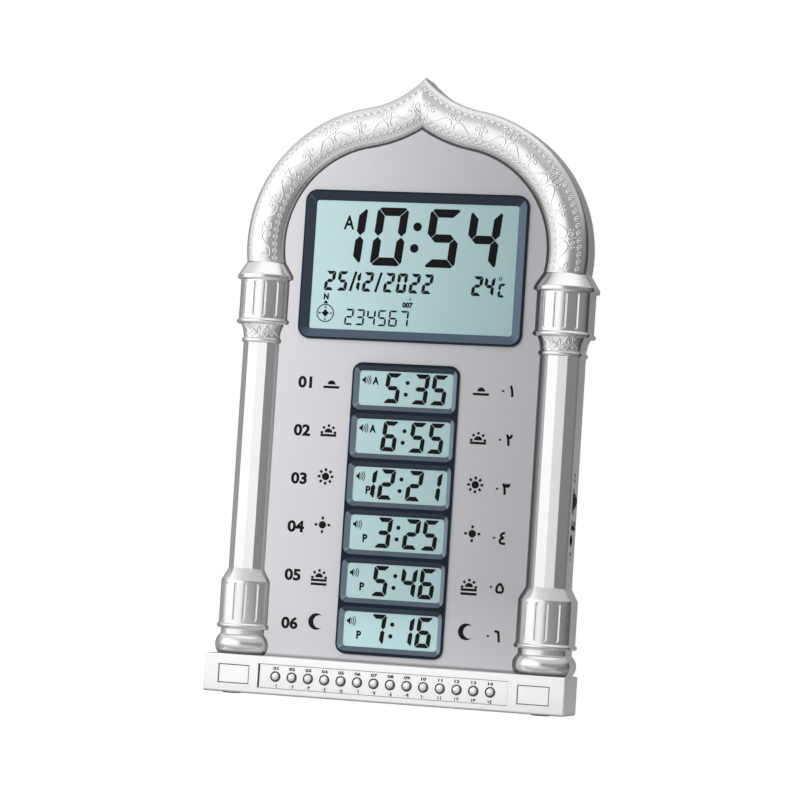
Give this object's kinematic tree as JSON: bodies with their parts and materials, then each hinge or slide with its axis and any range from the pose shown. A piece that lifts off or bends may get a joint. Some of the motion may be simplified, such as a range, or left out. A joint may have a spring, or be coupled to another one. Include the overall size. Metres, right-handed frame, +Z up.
{
  "type": "azan clock",
  "caption": "Arch-shaped digital prayer clock on a plinth, with a main display, a column of smaller displays, push buttons, side controls and a fold-out rear leg.",
  "frame": {"origin": "middle of the footprint, on the surface that the rubber feet stand on", "axes": "+Z up, the displays face -Y, +X to the right seen from the front"},
  "size_m": [0.2186, 0.0324, 0.3701],
  "materials": {
    "silver_moulding": "satin silver coating",
    "silver_housing": "satin silver-grey coating",
    "grey_inner": "moulded",
    "silver_panel": "metallic silver print",
    "dark_bezel": "semi-gloss blue-grey",
    "display_glass": "liquid crystal cell with a pale reflective back",
    "light_guide": "diffusing acrylic",
    "rubber": "matt",
    "circuit_board": "green solder mask",
    "overlay": "printed film",
    "label_plate": "plain film",
    "cable": "flat flexible cable",
    "steel": "plated",
    "cone_paper": "pressed paper",
    "black_plastic": "moulded black",
    "cell_jacket": "plain plastic jacket",
    "button_metal": "bright plated"
  },
  "bodies": {
    "case": {"plinth": "silver_moulding", "rear_cover": "silver_housing", "chassis": "grey_inner", "face_panel": "silver_panel", "arch_moulding": "silver_moulding", "left_foot": "silver_moulding", "left_shaft": "silver_moulding", "left_capital": "silver_moulding", "right_foot": "silver_moulding", "right_shaft": "silver_moulding", "right_capital": "silver_moulding", "main_bezel": "dark_bezel", "row_bezel": "dark_bezel", "main_glass": "display_glass", "row_glass": "display_glass", "main_backlight": "light_guide", "row_backlight": "light_guide", "main_contact_strip": "rubber", "row_contact_strip": "rubber", "main_board": "circuit_board", "key_board": "circuit_board", "key_mat": "rubber", "button_strip": "overlay", "left_label_plate": "label_plate", "right_label_plate": "label_plate", "rubber_feet": "rubber", "flat_cable": "cable", "speaker_frame": "steel", "speaker_cone": "cone_paper", "side_board": "circuit_board", "volume_control": "black_plastic", "slide_switch": "black_plastic", "power_socket": "black_plastic", "battery_cells": "cell_jacket", "battery_contacts": "steel", "leg_pin": "steel", "case_screws": "steel", "board_screws": "steel"},
    "button_01": {"button_01": "button_metal"},
    "button_02": {"button_02": "button_metal"},
    "button_03": {"button_03": "button_metal"},
    "button_04": {"button_04": "button_metal"},
    "button_05": {"button_05": "button_metal"},
    "button_06": {"button_06": "button_metal"},
    "button_07": {"button_07": "button_metal"},
    "button_08": {"button_08": "button_metal"},
    "button_09": {"button_09": "button_metal"},
    "button_10": {"button_10": "button_metal"},
    "button_11": {"button_11": "button_metal"},
    "button_12": {"button_12": "button_metal"},
    "button_13": {"button_13": "button_metal"},
    "button_14": {"button_14": "button_metal"},
    "wheel": {"volume_wheel": "black_plastic"},
    "knob": {"switch_knob": "black_plastic"},
    "door": {"battery_door": "silver_housing"},
    "leg": {"stand_leg": "silver_housing"}
  },
  "joints": [
    {"name": "button_01_press", "type": "slide", "parent": "case", "child": "button_01", "axis": [0, 1, 0], "range_m": [0, 0.0006], "stiffness_N_per_m": 1500},
    {"name": "button_02_press", "type": "slide", "parent": "case", "child": "button_02", "axis": [0, 1, 0], "range_m": [0, 0.0006], "stiffness_N_per_m": 1500},
    {"name": "button_03_press", "type": "slide", "parent": "case", "child": "button_03", "axis": [0, 1, 0], "range_m": [0, 0.0006], "stiffness_N_per_m": 1500},
    {"name": "button_04_press", "type": "slide", "parent": "case", "child": "button_04", "axis": [0, 1, 0], "range_m": [0, 0.0006], "stiffness_N_per_m": 1500},
    {"name": "button_05_press", "type": "slide", "parent": "case", "child": "button_05", "axis": [0, 1, 0], "range_m": [0, 0.0006], "stiffness_N_per_m": 1500},
    {"name": "button_06_press", "type": "slide", "parent": "case", "child": "button_06", "axis": [0, 1, 0], "range_m": [0, 0.0006], "stiffness_N_per_m": 1500},
    {"name": "button_07_press", "type": "slide", "parent": "case", "child": "button_07", "axis": [0, 1, 0], "range_m": [0, 0.0006], "stiffness_N_per_m": 1500},
    {"name": "button_08_press", "type": "slide", "parent": "case", "child": "button_08", "axis": [0, 1, 0], "range_m": [0, 0.0006], "stiffness_N_per_m": 1500},
    {"name": "button_09_press", "type": "slide", "parent": "case", "child": "button_09", "axis": [0, 1, 0], "range_m": [0, 0.0006], "stiffness_N_per_m": 1500},
    {"name": "button_10_press", "type": "slide", "parent": "case", "child": "button_10", "axis": [0, 1, 0], "range_m": [0, 0.0006], "stiffness_N_per_m": 1500},
    {"name": "button_11_press", "type": "slide", "parent": "case", "child": "button_11", "axis": [0, 1, 0], "range_m": [0, 0.0006], "stiffness_N_per_m": 1500},
    {"name": "button_12_press", "type": "slide", "parent": "case", "child": "button_12", "axis": [0, 1, 0], "range_m": [0, 0.0006], "stiffness_N_per_m": 1500},
    {"name": "button_13_press", "type": "slide", "parent": "case", "child": "button_13", "axis": [0, 1, 0], "range_m": [0, 0.0006], "stiffness_N_per_m": 1500},
    {"name": "button_14_press", "type": "slide", "parent": "case", "child": "button_14", "axis": [0, 1, 0], "range_m": [0, 0.0006], "stiffness_N_per_m": 1500},
    {"name": "volume_turn", "type": "hinge", "parent": "case", "child": "wheel", "pos_m": [0.0968, 0.00575, 0.1246], "axis": [0, 1, 0], "range_deg": [-135, 135]},
    {"name": "power_slide", "type": "slide", "parent": "case", "child": "knob", "axis": [0, 0, 1], "range_m": [0, 0.0025]},
    {"name": "door_pull", "type": "slide", "parent": "case", "child": "door", "axis": [0, 1, 0], "range_m": [0, 0.02]},
    {"name": "leg_fold", "type": "hinge", "parent": "case", "child": "leg", "pos_m": [0, 0.01365, 0.15], "axis": [1, 0, 0], "range_deg": [0, 40]}
  ]
}
